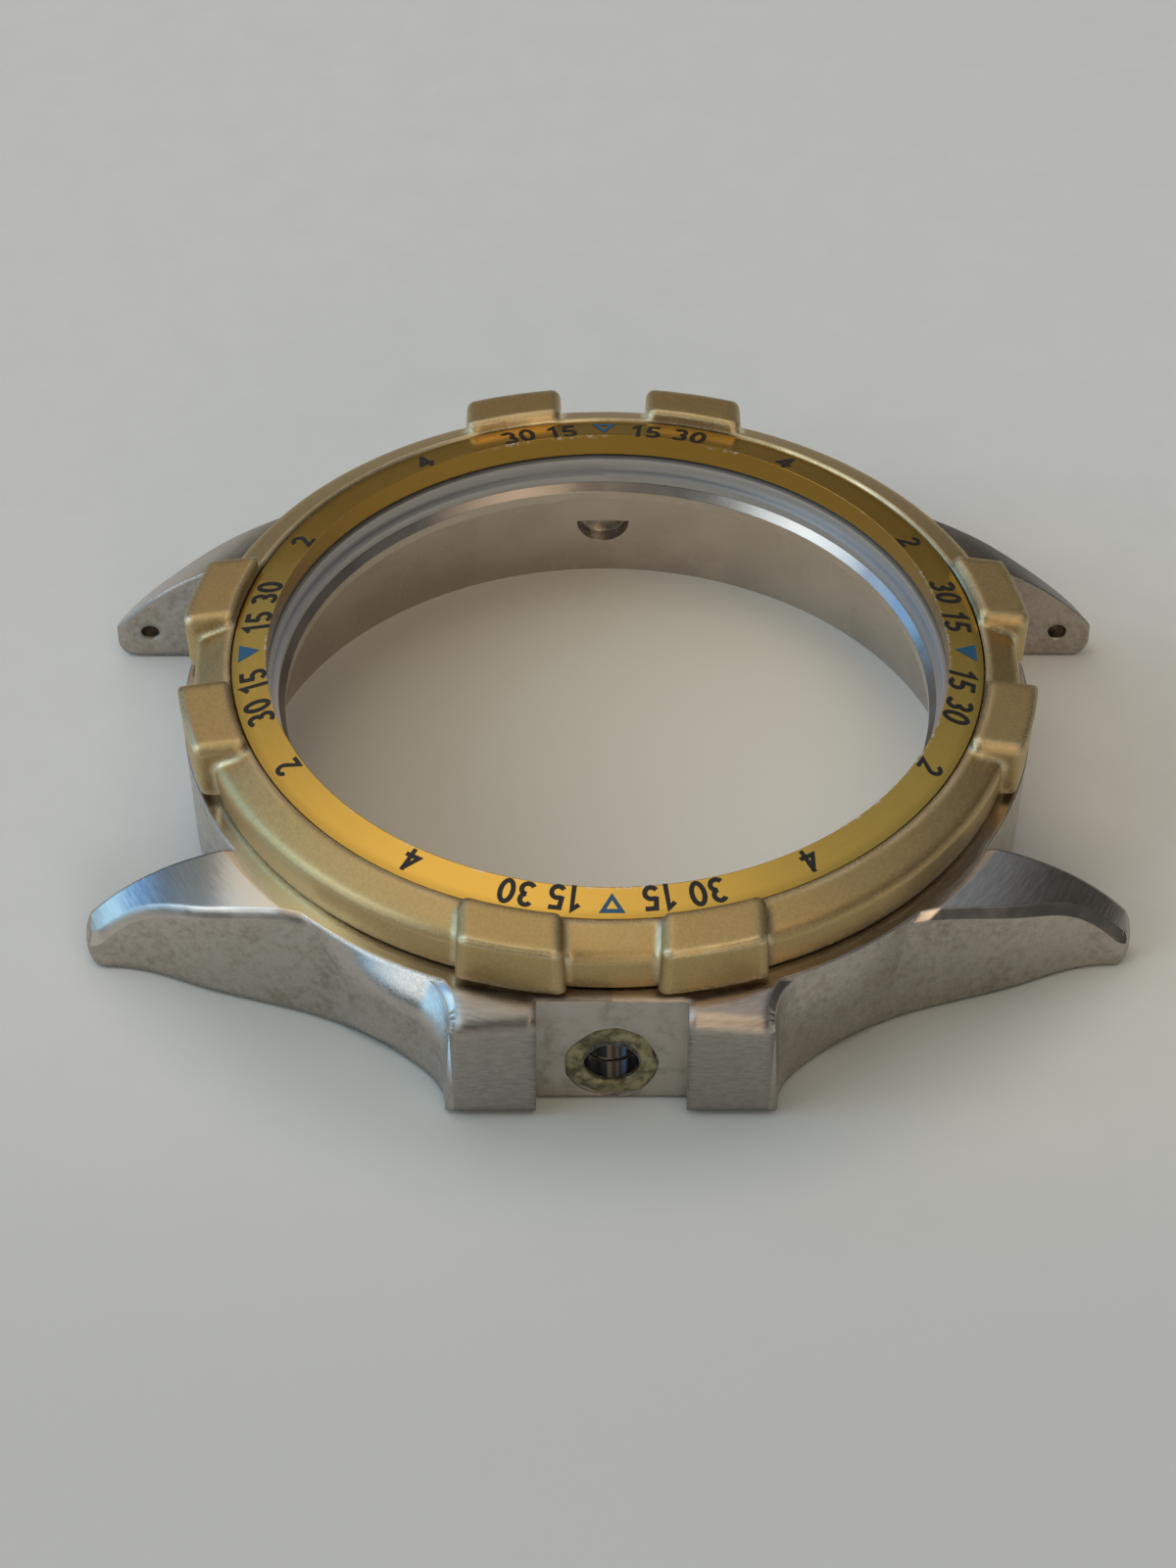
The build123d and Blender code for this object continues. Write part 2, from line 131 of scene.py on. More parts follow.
def shade(colour, factor):
    """A colour made lighter or darker, by one factor or by one for each channel."""
    factors = factor if isinstance(factor, tuple) else (factor,) * 3
    return tuple(min(1.0, channel * each) for channel, each in zip(colour, factors))


# Short calls for nodes


class Nodes:
    """Short calls for the nodes of one tree; place is the coordinate that its patterns use."""

    def __init__(self, tree, place):
        self.tree = tree
        self.place = self.add("ShaderNodeTexCoord").outputs[place]

    def add(self, kind, **settings):
        """A node with its settings."""
        node = self.tree.nodes.new(kind)
        for key, value in settings.items():
            setattr(node, key, value)
        return node

    def put(self, socket, value):
        """Links an output to a socket, or sets its value."""
        if isinstance(value, bpy.types.NodeSocket):
            self.tree.links.new(value, socket)
        else:
            socket.default_value = value

    def fill(self, node, *values):
        """Puts values into a node's first sockets and gives its first output."""
        for socket, value in zip(node.inputs, values):
            self.put(socket, value)
        return node.outputs[0]

    def math(self, operation, *numbers):
        """One sum on one, two or three numbers."""
        return self.fill(self.add("ShaderNodeMath", operation=operation), *numbers)

    def plus(self, a, b):
        """Two numbers added."""
        return self.math("ADD", a, b)

    def less(self, a, b):
        """The first number without the second."""
        return self.math("SUBTRACT", a, b)

    def times(self, first, *others):
        """Numbers multiplied."""
        for other in others:
            first = self.math("MULTIPLY", first, other)
        return first

    def vector(self, x, y, z):
        """A vector from three numbers."""
        return self.fill(self.add("ShaderNodeCombineXYZ"), x, y, z)

    def split(self, vector=None):
        """The three numbers of a vector, by default of the place."""
        node = self.add("ShaderNodeSeparateXYZ")
        self.put(node.inputs[0], vector or self.place)
        return node.outputs

    def radius(self):
        """Distance of the place from the case axis."""
        x, y, _ = self.split()
        return self.math("SQRT", self.plus(self.times(x, x), self.times(y, y)))

    def dot(self, a, b):
        """The dot product of two vectors."""
        node = self.add("ShaderNodeVectorMath", operation="DOT_PRODUCT")
        self.fill(node, a, b)
        return node.outputs["Value"]

    def towards(self, axis):
        """How near the place's direction is to an axis: 1 along it, 0 across it."""
        return self.dot(self.place, Vector(axis).normalized())

    def noise(self, vector, scale, detail=3.0, roughness=0.55):
        """Noise from 0 to 1 over a vector."""
        node = self.add("ShaderNodeTexNoise")
        for key, value in (("Vector", vector), ("Scale", scale), ("Detail", detail), ("Roughness", roughness)):
            self.put(node.inputs[key], value)
        return node.outputs["Fac"]

    def ramp(self, value, low, high, to_low=0.0, to_high=1.0, kind="SMOOTHSTEP"):
        """A number carried from low..high to to_low..to_high, held at both ends."""
        node = self.add("ShaderNodeMapRange", interpolation_type=kind)
        return self.fill(node, value, low, high, to_low, to_high)

    def mix(self, share, a, b):
        """A colour from a to b by share."""
        node = self.add("ShaderNodeMix", data_type="RGBA")
        self.put(node.inputs["Factor"], share)
        for key, value in (("A", a), ("B", b)):
            self.put(node.inputs[key], (*value, 1.0) if isinstance(value, tuple) else value)
        return node.outputs["Result"]

    def bump(self, height, depth, strength=1.0, normal=None):
        """A normal from a height, with its depth in metres."""
        node = self.add("ShaderNodeBump")
        node.inputs["Strength"].default_value = strength
        node.inputs["Distance"].default_value = depth
        self.put(node.inputs["Height"], height)
        if normal is not None:
            self.put(node.inputs["Normal"], normal)
        return node.outputs[0]

    def lean(self, normal, share, sideways):
        """The normal leaned upwards by a share of its length, and along Y by another."""
        moved = self.fill(
            self.add("ShaderNodeVectorMath", operation="ADD"), normal, self.vector(0.0, sideways, share)
        )
        return self.fill(self.add("ShaderNodeVectorMath", operation="NORMALIZE"), moved)

    def face_normal(self):
        """The face's own normal."""
        return self.add("ShaderNodeNewGeometry").outputs["Normal"]

    def upward(self):
        """How far the face looks up: the third number of its normal."""
        return self.split(self.face_normal())[2]

    def soft_edge(self, radius):
        """The normal rounded over the edges, and how near an edge is, from 0 to 1."""
        bevel = self.add("ShaderNodeBevel", samples=bevel_samples)
        self.put(bevel.inputs["Radius"], radius)
        facing = self.dot(bevel.outputs[0], self.face_normal())
        return bevel.outputs[0], self.ramp(facing, *edge_facing)

    def round_grain(self, across, along):
        """Places for lines that run round the case axis: fine across, long along."""
        x, y, z = self.split()
        turn = self.math("ARCTAN2", y, x)
        return self.vector(self.times(self.radius(), across), self.times(turn, along), self.times(z, across))


class Finish(Nodes):
    """Short calls for the nodes of one material."""

    def __init__(self, name):
        self.material = bpy.data.materials.new(name)
        self.material.use_nodes = True
        super().__init__(self.material.node_tree, "Object")
        self.shader = self.tree.nodes["Principled BSDF"]

    def made(self, **values):
        """The material, once the sockets of its shader are set or linked."""
        for key, value in values.items():
            self.put(self.shader.inputs[key.replace("_", " ")], value)
        return self.material


# Where noise mostly lies between 0 and 1

noise_range = (0.3, 0.7)

# Radii over which the finishes round their edges, and how far a face's normal is from the rounded one there

bevel_samples = 6
edge_facing = (0.999, 0.93)
guard_rounding = 0.65 * mm
bevel_rounding = 0.55 * mm
crisp_rounding = 0.2 * mm
rider_rounding = 0.6 * mm
bore_rounding = 0.06 * mm
insert_rounding = 0.05 * mm

# Places on the case: distances from its axis are called reach, distances along Y from it side

cavity_reach = 17.5 * mm
flange_reach = 18.7 * mm
flange_top = 0.9 * mm
shelf_reach = 17.0 * mm
shelf_low = 2.0 * mm
lug_reach = 19.0 * mm
lug_low = 0.5 * mm
bevel_x = 11.0 * mm
guard_x = 19.0 * mm
guard_side = 7.0 * mm
guard_blend = 0.4 * mm
recess_x = 19.6 * mm
recess_side = 3.36 * mm

# Least and most of a face normal's parts, by which the kinds of surface are told apart

least_up = 0.3
most_up = 0.86
least_along_x = 0.25
least_around = 0.2

# Places over which a finish changes, as (from, to)

left_to_right_y = (-2.0 * mm, 2.0 * mm)
left_guard_shade_y = (3.0 * mm, -3.0 * mm)
left_flank_y = (4.0 * mm, -4.0 * mm)
bevel_lean_y = (11.0 * mm, 20.0 * mm)
hollow_x = (14.4 * mm, 17.5 * mm)
hollow_depth = (1.9 * mm, 5.0 * mm)
far_x = (-6.0 * mm, -9.0 * mm)
far_lean_y = (0.0, 5.0 * mm)
far_point_shade_y = (15.5 * mm, 20.0 * mm)
near_x = (8.0 * mm, 10.0 * mm)
root_light_y = ((-18.3 * mm, -16.6 * mm), (-10.5 * mm, -13.0 * mm))
middle_shade_y = ((-21.5 * mm, -20.0 * mm), (-17.2 * mm, -18.6 * mm))

# Where the hollow beside the guards ends, and how fast it sinks away from there

hollow_end_x = 18.0 * mm
hollow_slope = 0.35

# How far normals lean, as shares of their length

guard_lean_outwards = 0.08
guard_lean_down = 0.1
far_lean_up = 0.3
bevel_lean_up = 0.45
hollow_lean_up = 0.95
hollow_lean_outwards = 0.25

# Finishes of the case

stain_brown = (0.42, 0.33, 0.27)
dirt_brown = (0.27, 0.22, 0.16)
recess_stain = (0.34, 0.3, 0.24)
# Painted highlight on the near left lug's root
root_painted_light = (0.90, 0.85, 0.76)
# Painted shade along the near left lug's middle
middle_painted_shade = (0.34, 0.345, 0.31)


def brushed_steel():
    """Steel brushed in lines round the case axis.

    The guards are rounder at their edges and their normals lean outwards and down; the left guard and
    both guard fronts are darkened with painted shade. The far lugs' normals lean back. The far right lug
    darkens to its point with painted shade; the near left one has a painted highlight at its root and
    painted shade along its middle.
    """
    n = Finish("brushed_steel_top")
    steel = colours().steel
    lines = n.noise(n.round_grain(across=15000.0, along=14.0), scale=1.0, detail=3.0, roughness=0.6)
    strokes = n.noise(n.round_grain(across=7000.0, along=22.0), scale=1.0, detail=3.0, roughness=0.6)
    blotches = n.noise(n.place, scale=420.0, detail=4.0)
    stroke = n.ramp(strokes, *noise_range)
    x, y, _ = n.split()
    guard = n.times(
        n.ramp(x, guard_x - guard_blend, guard_x + guard_blend),
        n.ramp(n.math("ABSOLUTE", y), guard_side + guard_blend, guard_side),
    )
    far = n.ramp(x, *far_x)
    near = n.ramp(x, *near_x)

    normal, edge = n.soft_edge(n.ramp(guard, 0.0, 1.0, sizes().edge_rounding, guard_rounding))
    outwards = n.times(n.math("SIGN", y), guard, guard_lean_outwards)
    back = n.times(far, n.ramp(y, *far_lean_y), far_lean_up)
    normal = n.lean(normal, n.less(back, n.times(guard, guard_lean_down)), outwards)

    tone = n.mix(stroke, shade(steel, 0.86), shade(steel, 1.1))
    tone = n.mix(n.ramp(blotches, 0.5, 0.75, 0.0, 0.35), tone, stain_brown)
    # Painted shade: the fronts of both guards and the left guard are darkened, keeping their brushed lines,
    # where they mirror the shaded floor and room.
    guard_shade = n.math("MAXIMUM", n.ramp(n.upward(), 0.5, 0.1, 0.0, 0.8), n.ramp(y, *left_guard_shade_y, 0.0, 0.75))
    tone = n.mix(n.times(guard, guard_shade), tone, n.mix(stroke, shade(steel, 0.56), shade(steel, 0.72)))
    # Painted shade: the far right lug's top darkens towards its point.
    tone = n.mix(n.times(far, n.ramp(y, *far_point_shade_y)), tone, shade(steel, 0.42))
    # Painted highlight: the near left lug's root is made pale and warm as if lit.
    root = n.times(n.ramp(y, *root_light_y[0]), n.ramp(y, *root_light_y[1]), 0.85)
    tone = n.mix(n.times(near, root), tone, root_painted_light)
    # Painted shade: a darker band along the near left lug's middle.
    middle = n.times(n.ramp(y, *middle_shade_y[0]), n.ramp(y, *middle_shade_y[1]), 0.85)
    tone = n.mix(n.times(near, middle), tone, middle_painted_shade)
    rough = n.plus(n.ramp(strokes, 0.25, 0.75, 0.18, 0.26), n.times(guard, 0.12))
    return n.made(
        Base_Color=tone,
        Metallic=1.0,
        Roughness=n.less(rough, n.times(edge, 0.05)),
        Anisotropic=0.35,
        Tangent=n.vector(x, y, 0.0),
        Normal=n.bump(n.plus(lines, n.times(strokes, 0.8)), depth=0.004 * mm, normal=normal),
    )


def polished_steel():
    """Bevels that are polished and worn round, with hairlines along them."""
    n = Finish("polished_steel_bevel")
    steel = colours().steel
    hair = n.noise(n.round_grain(across=7000.0, along=14.0), scale=1.0)
    haze = n.noise(n.place, scale=900.0, detail=4.0)
    _, y, _ = n.split()
    normal, _ = n.soft_edge(n.ramp(y, *left_to_right_y, bevel_rounding, crisp_rounding))
    normal = n.lean(normal, n.ramp(y, *bevel_lean_y, 0.0, bevel_lean_up), 0.0)
    return n.made(
        Base_Color=n.mix(n.ramp(haze, 0.35, 0.7), shade(steel, 1.0), shade(steel, 1.25)),
        Metallic=1.0,
        Roughness=n.ramp(haze, 0.35, 0.75, 0.12, 0.22),
        Normal=n.bump(hair, depth=0.0015 * mm, strength=0.6, normal=normal),
    )


def satin_steel():
    """Flanks: once polished, now matte and stained, with a rubbed bright edge along the top.

    Beside the guards its normals lean back and outwards as over a hollow, so its upper part mirrors the window.
    """
    n = Finish("satin_steel_flank")
    steel = colours().steel
    stain = n.noise(n.place, scale=2300.0, detail=8.0, roughness=0.72)
    fine = n.noise(n.place, scale=6500.0, detail=4.0, roughness=0.6)
    patches = n.noise(n.place, scale=260.0)
    x, y, z = n.split()
    normal, edge = n.soft_edge(n.ramp(y, *left_to_right_y, bevel_rounding, crisp_rounding))
    left = n.ramp(y, *left_flank_y, 0.25, 1.0)
    depth = n.less(z, n.times(n.less(hollow_end_x, x), hollow_slope))
    hollow = n.times(n.ramp(x, *hollow_x), n.ramp(depth, *hollow_depth, 0.0, hollow_lean_up), left)
    away = n.times(n.math("SIGN", y), hollow, hollow_lean_outwards)
    polish = n.math("MAXIMUM", edge, n.ramp(hollow, 0.1, 0.45, 0.0, 0.8))
    dirt = n.ramp(n.times(stain, n.plus(patches, 0.55)), 0.42, 0.74, 0.0, 0.6)
    rough = n.plus(n.ramp(fine, *noise_range, 0.24, 0.34), n.times(dirt, 0.2))
    return n.made(
        Base_Color=n.mix(polish, n.mix(dirt, shade(steel, 0.93), dirt_brown), shade(steel, 0.95)),
        Metallic=1.0,
        Roughness=n.less(rough, n.times(polish, 0.05)),
        Normal=n.bump(n.plus(fine, stain), depth=0.006 * mm, strength=0.6, normal=n.lean(normal, hollow, away)),
    )


def turned_steel():
    """Cavity wall, seat and neck: fine turning marks round the axis."""
    n = Finish("turned_steel_bore")
    steel = colours().steel
    turning = n.noise(n.round_grain(across=14000.0, along=1.2), scale=1.0)
    blotches = n.noise(n.place, scale=320.0)
    normal, _ = n.soft_edge(bore_rounding)
    return n.made(
        Base_Color=n.mix(n.ramp(blotches, *noise_range), shade(steel, 0.96), shade(steel, 1.1)),
        Metallic=1.0,
        Roughness=n.ramp(blotches, *noise_range, 0.24, 0.34),
        Normal=n.bump(turning, depth=0.002 * mm, strength=0.6, normal=normal),
    )


def milled_steel():
    """Recess floor and walls between the guards: fine lines across and small stains."""
    n = Finish("milled_steel_recess")
    _, y, z = n.split()
    cut = n.noise(n.vector(0.0, n.times(y, 600.0), n.times(z, 9000.0)), scale=1.0)
    stain = n.noise(n.place, scale=900.0, detail=4.0)
    normal, _ = n.soft_edge(sizes().edge_rounding)
    return n.made(
        Base_Color=n.mix(n.ramp(stain, 0.45, 0.75), shade(colours().steel, 0.95), recess_stain),
        Metallic=1.0,
        Roughness=n.ramp(stain, *noise_range, 0.36, 0.46),
        Normal=n.bump(cut, depth=0.003 * mm, strength=0.6, normal=normal),
    )


# Finishes of the bezel

# Pale gold of the edges: partly worn plating, partly a painted highlight
worn_highlight_gold = (0.90, 0.80, 0.54)
worn_gold = (0.50, 0.34, 0.16)
chipped_white = (0.85, 0.84, 0.82)
worn_ink = (0.30, 0.22, 0.08)

# Places on the printed ring: distances from its inner edge, down from its top and in from its outer edge

chip_reach = (0.14 * mm, 0.03 * mm)
chip_drop = (0.22 * mm, 0.08 * mm)
# Band of painted shade in from the outer edge
outer_shade_reach = (0.55 * mm, 0.02 * mm)


def blasted_gold():
    """Bezel metal: bead-blasted and plated, smoother along its worn edges and paler there, partly from wear and
    partly as a painted highlight.
    """
    n = Finish("blasted_gold_bezel")
    gold = colours().gold
    grain = n.noise(n.place, scale=15000.0, detail=4.0, roughness=0.65)
    coarse = n.noise(n.place, scale=6500.0)
    wear = n.noise(n.place, scale=420.0, detail=4.0)
    normal, edge = n.soft_edge(rider_rounding)
    # Along the edges the metal is smoother from wear and paler, partly worn plating and partly a painted
    # highlight.
    rubbed = n.times(edge, n.ramp(wear, 0.3, 0.65, 0.45, 1.0))
    tone = n.mix(n.ramp(coarse, *noise_range), shade(gold, 0.9), shade(gold, 1.08))
    tone = n.mix(n.ramp(wear, 0.45, 0.75, 0.0, 0.4), tone, worn_gold)
    return n.made(
        Base_Color=n.mix(rubbed, tone, worn_highlight_gold),
        Metallic=1.0,
        Roughness=n.less(n.ramp(coarse, *noise_range, 0.36, 0.46), n.times(rubbed, 0.25)),
        Normal=n.bump(n.plus(grain, n.times(coarse, 0.8)), depth=0.006 * mm, strength=0.9, normal=normal),
    )


def insert_gold():
    """Printed ring: smooth bright gold with turning marks.

    Chipped to white metal along its inner edge, with painted shade along its outer edge beside the bezel and
    down its inner skirt.
    """
    n = Finish("satin_gold_insert")
    gold = colours().bright_gold
    turning = n.noise(n.round_grain(across=12000.0, along=14.0), scale=1.0)
    z = n.split()[2]
    radius = n.radius()
    inner, outer, top = insert_inner_radius(), insert_high.x, insert_high.z
    rim = n.times(
        n.ramp(radius, inner + chip_reach[0], inner + chip_reach[1]),
        n.ramp(z, top - chip_drop[0], top - chip_drop[1]),
    )
    chips = n.ramp(n.noise(n.place, scale=2600.0, detail=6.0, roughness=0.7), 0.50, 0.56)
    places = n.ramp(n.noise(n.place, scale=210.0, detail=2.0), 0.5, 0.6)
    chip = n.times(rim, chips, places)
    normal, _ = n.soft_edge(insert_rounding)
    tone = n.mix(turning, shade(gold, 0.94), shade(gold, 1.06))
    # Painted shade along the outer edge, beside the bezel.
    outer_shade = n.ramp(radius, outer - outer_shade_reach[0], outer - outer_shade_reach[1], 0.0, 0.4)
    tone = n.mix(outer_shade, tone, shade(gold, 0.45))
    # Painted shade on faces that don't look up, down the inner skirt.
    tone = n.mix(n.ramp(n.upward(), 0.75, 0.35, 0.0, 0.85), tone, shade(gold, 0.42))
    return n.made(
        Base_Color=n.mix(chip, tone, chipped_white),
        Metallic=1.0,
        Roughness=n.plus(n.ramp(turning, *noise_range, 0.2, 0.25), n.times(chip, 0.2)),
        Normal=n.bump(n.less(turning, n.times(chip, 6.0)), depth=0.0008 * mm, strength=0.4, normal=normal),
    )


def print_ink(name, colour):
    """Printed ink, a little worn through."""
    n = Finish(name)
    worn = n.noise(n.place, scale=4200.0, detail=4.0, roughness=0.7)
    return n.made(
        Base_Color=n.mix(n.ramp(worn, 0.62, 0.72, 0.0, 0.5), tuple(colour), worn_ink),
        Roughness=n.ramp(worn, *noise_range, 0.4, 0.55),
        Normal=n.bump(worn, depth=0.003 * mm, strength=0.4),
    )


# Finishes of the small parts: colours from dark to pale

# Bore of the crown tube: painted shade from dark to pale, and a pale rim as a painted highlight
bore_shade_tones = ((0.05, 0.048, 0.045), (0.19, 0.18, 0.17))
rim_highlight = (0.6, 0.58, 0.5)
rubber_tones = ((0.02, 0.02, 0.02), (0.09, 0.09, 0.085))
seal_tones = ((0.43, 0.44, 0.46), (0.60, 0.62, 0.65))
wire_tones = ((0.42, 0.42, 0.43), (0.62, 0.62, 0.63))
adhesive_tones = ((0.12, 0.12, 0.12), (0.24, 0.24, 0.23))


def stained_brazing():
    """Brazing round the tube: olive, patchy and lumpy."""
    n = Finish("stained_brazing")
    base = colours().brazing
    lumps = n.noise(n.place, scale=1800.0, detail=4.0)
    spots = n.noise(n.place, scale=4600.0)
    return n.made(
        Base_Color=n.mix(n.ramp(lumps, 0.35, 0.65), shade(base, 0.55), shade(base, 1.7)),
        Metallic=0.7,
        Roughness=n.ramp(spots, *noise_range, 0.34, 0.6),
        Normal=n.bump(n.plus(lumps, spots), depth=0.02 * mm, strength=0.7),
    )


def dark_tube_steel():
    """Inside of the crown tube: reamed steel painted dark as shade, with pale streaks along it as a painted
    reflection and a pale rim as a painted highlight.
    """
    n = Finish("reamed_tube")
    x, y, z = n.split()
    streaks = n.noise(n.vector(0.0, n.times(y, 2600.0), n.times(z, 2600.0)), scale=1.0, detail=2.0)
    marks = n.noise(n.vector(n.times(x, 9000.0), n.times(y, 400.0), 0.0), scale=1.0, detail=2.0)
    normal, edge = n.soft_edge(bore_rounding)
    # Painted shade in the bore, with pale streaks of painted reflection along it.
    tone = n.mix(n.ramp(streaks, 0.35, 0.65), *bore_shade_tones)
    return n.made(
        # Painted highlight along the rim.
        Base_Color=n.mix(edge, tone, rim_highlight),
        Metallic=1.0,
        Roughness=n.ramp(marks, *noise_range, 0.2, 0.3),
        Normal=n.bump(marks, depth=0.002 * mm, strength=0.5, normal=normal),
    )


def black_rubber():
    """Seals: matte rubber with dust."""
    n = Finish("black_rubber")
    dust = n.noise(n.place, scale=2600.0, detail=4.0)
    return n.made(
        Base_Color=n.mix(n.ramp(dust, 0.5, 0.8), *rubber_tones),
        Roughness=n.ramp(dust, *noise_range, 0.55, 0.7),
        Normal=n.bump(dust, depth=0.004 * mm, strength=0.4),
    )


def pale_seal():
    """Crystal seal: pale bluish plastic, dragged into rings by the crystal."""
    n = Finish("pale_crystal_seal")
    rings = n.noise(n.round_grain(across=2300.0, along=0.5), scale=1.0, detail=1.5)
    return n.made(
        Base_Color=n.mix(n.ramp(rings, *noise_range), *seal_tones),
        Metallic=0.6,
        Roughness=n.ramp(rings, *noise_range, 0.30, 0.42),
        Normal=n.bump(rings, depth=0.008 * mm, strength=0.6),
    )


def drawn_wire():
    """Wire, balls and springs: drawn steel."""
    n = Finish("drawn_wire")
    marks = n.noise(n.place, scale=5200.0)
    return n.made(
        Base_Color=n.mix(marks, *wire_tones),
        Metallic=1.0,
        Roughness=n.ramp(marks, *noise_range, 0.2, 0.32),
        Normal=n.bump(marks, depth=0.002 * mm, strength=0.4),
    )


def grey_adhesive():
    """Adhesive under the printed ring."""
    n = Finish("grey_adhesive")
    specks = n.noise(n.place, scale=3000.0)
    return n.made(
        Base_Color=n.mix(specks, *adhesive_tones),
        Roughness=0.7,
        Normal=n.bump(specks, depth=0.005 * mm, strength=0.4),
    )


# Meshes

merge_step = 0.00002 * mm


def require(made, what):
    """Stops the script when something couldn't be made."""
    if not made:
        raise RuntimeError(f"{what} couldn't be made")


def node_vertices(node):
    """Vertices of a node of the frame as an array."""
    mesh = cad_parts[node].data
    flat = np.empty(3 * len(mesh.vertices), np.float32)
    mesh.vertices.foreach_get("co", flat)
    return flat.reshape(-1, 3).astype(float)


def new_piece(name, vertices, faces, body, smooth=True):
    """A mesh object at the origin, riding on a body."""
    mesh = bpy.data.meshes.new(name)
    mesh.from_pydata(np.asarray(vertices, float).tolist(), [], [list(map(int, face)) for face in faces])
    mesh.polygons.foreach_set("use_smooth", [smooth] * len(mesh.polygons))
    mesh.update()
    piece = bpy.data.objects.new(name, mesh)
    bpy.context.scene.collection.objects.link(piece)
    if body:
        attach(piece, body)
    return piece


def merged_copy(node, name, body):
    """A copy of a node with its doubles merged and its smooth normals kept, standing for the node.

    Vertices that fall in the same cell of a very fine grid become one, and triangles that lose a
    corner by it are left out.
    """
    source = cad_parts[node].data
    loops = np.empty(len(source.loops), np.int32)
    source.loops.foreach_get("vertex_index", loops)
    normals = np.empty(3 * len(source.loops), np.float32)
    source.corner_normals.foreach_get("vector", normals)
    vertices = node_vertices(node)
    cells = np.round(vertices / merge_step).astype(np.int64)
    _, first, inverse = np.unique(cells, axis=0, return_index=True, return_inverse=True)
    triangles = inverse.reshape(-1)[loops].reshape(-1, 3)
    whole = (triangles != np.roll(triangles, 1, axis=1)).all(axis=1)
    piece = new_piece(name, vertices[first], triangles[whole], body)
    corner = normals.reshape(-1, 3, 3)[whole].reshape(-1, 3)
    require(len(piece.data.loops) == len(corner), f"the normals of {name}")
    piece.data.normals_split_custom_set(corner.tolist())
    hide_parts(node)
    return piece


def face_facts(mesh):
    """Centres and normals of a mesh's faces as arrays."""
    centre = np.empty(3 * len(mesh.polygons), np.float32)
    normal = np.empty(3 * len(mesh.polygons), np.float32)
    mesh.polygons.foreach_get("center", centre)
    mesh.polygons.foreach_get("normal", normal)
    return centre.reshape(-1, 3), normal.reshape(-1, 3)


def leans_across(centre, normal):
    """Whether each face belongs to a bevel: part of its normal points round the case axis."""
    radius = np.hypot(centre[:, 0], centre[:, 1])
    outwards = (normal[:, 0] * centre[:, 0] + normal[:, 1] * centre[:, 1]) / np.maximum(radius, mm)
    around = np.sqrt(np.maximum(0.0, 1.0 - outwards**2 - normal[:, 2] ** 2))
    return around > least_around


def dress_case():
    """The middle case with a finish for each kind of surface, told by place and direction."""
    piece = merged_copy("midcase", "case_body", "case")
    finishes = (brushed_steel(), polished_steel(), satin_steel(), turned_steel(), milled_steel())
    for material in finishes:
        piece.data.materials.append(material)
    top, bevel, flank, bore, recess = range(len(finishes))
    centre, normal = face_facts(piece.data)
    x, y, z = centre.T
    reach = np.hypot(x, y)
    up = normal[:, 2]
    looks_up = up > least_up
    guard = (x > guard_x) & (np.abs(y) < guard_side)
    lug = (reach > lug_reach) & (z > lug_low) & (np.abs(x) > bevel_x) & ~guard
    slopes = looks_up & (up < most_up) & (np.abs(normal[:, 0]) > least_along_x)
    kind = np.full(len(x), flank)
    kind[(reach < cavity_reach) | ((reach < flange_reach) & (z < flange_top))] = bore
    kind[(reach >= shelf_reach) & looks_up & (z > shelf_low)] = top
    kind[lug & slopes & leans_across(centre, normal)] = bevel
    kind[guard] = top
    kind[(x > recess_x) & (np.abs(y) < recess_side)] = recess
    piece.data.polygons.foreach_set("material_index", kind.astype(np.int32))
    return piece


def dress_node(node, material):
    """Gives every material slot of a node of the frame its finish."""
    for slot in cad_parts[node].material_slots:
        slot.material = material


class WATCH_OT_case(bpy.types.Operator):
    """Finishes of the middle case"""

    bl_idname = "watch_case.case"
    bl_label = "Middle case"

    def execute(self, context):
        piece = dress_case()
        require(len(piece.data.polygons) > 0, "the middle case")
        return {"FINISHED"}


class WATCH_OT_bezel(bpy.types.Operator):
    """Finishes of the bezel, its printed ring and what is under them"""

    bl_idname = "watch_case.bezel"
    bl_label = "Bezel"

    def execute(self, context):
        ring = merged_copy("bezel_ring", "bezel_metal", "bezel")
        ring.data.materials.append(blasted_gold())
        insert = merged_copy("bezel_insert", "printed_ring", "bezel")
        insert.data.materials.append(insert_gold())
        dress_node("insert_adhesive", grey_adhesive())
        require(len(ring.data.polygons) and len(insert.data.polygons), "the bezel")
        return {"FINISHED"}


class WATCH_OT_small_parts(bpy.types.Operator):
    """Finishes of the tube, the seals, the wire, the click balls and their springs"""

    bl_idname = "watch_case.small_parts"
    bl_label = "Small parts"

    def execute(self, context):
        dress_node("crown_tube", dark_tube_steel())
        lump = brazing_lump(stained_brazing())
        require(len(lump.data.polygons) > 0, "the brazing")
        dress_node("crystal_seal", pale_seal())
        rubber = black_rubber()
        for node in ("crown_tube_seal", "bezel_seal", "back_seal"):
            dress_node(node, rubber)
        wire = drawn_wire()
        steel_nodes = [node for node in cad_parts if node.startswith(("click_", "bezel_retaining"))]
        require(steel_nodes, "the click parts")
        for node in steel_nodes:
            dress_node(node, wire)
        return {"FINISHED"}


# Brazing: points round it, and the worn polygon in its edge, with its turn in radians and its share

brazing_turns = 112
brazing_sides = 7
brazing_turned = 0.2
brazing_angular = 0.5

# Radii of its bore and its edge, and how far its face stands out past the tube

brazing_bore = 1.27 * mm
brazing_edge = 2.14 * mm
brazing_proud = 0.012 * mm

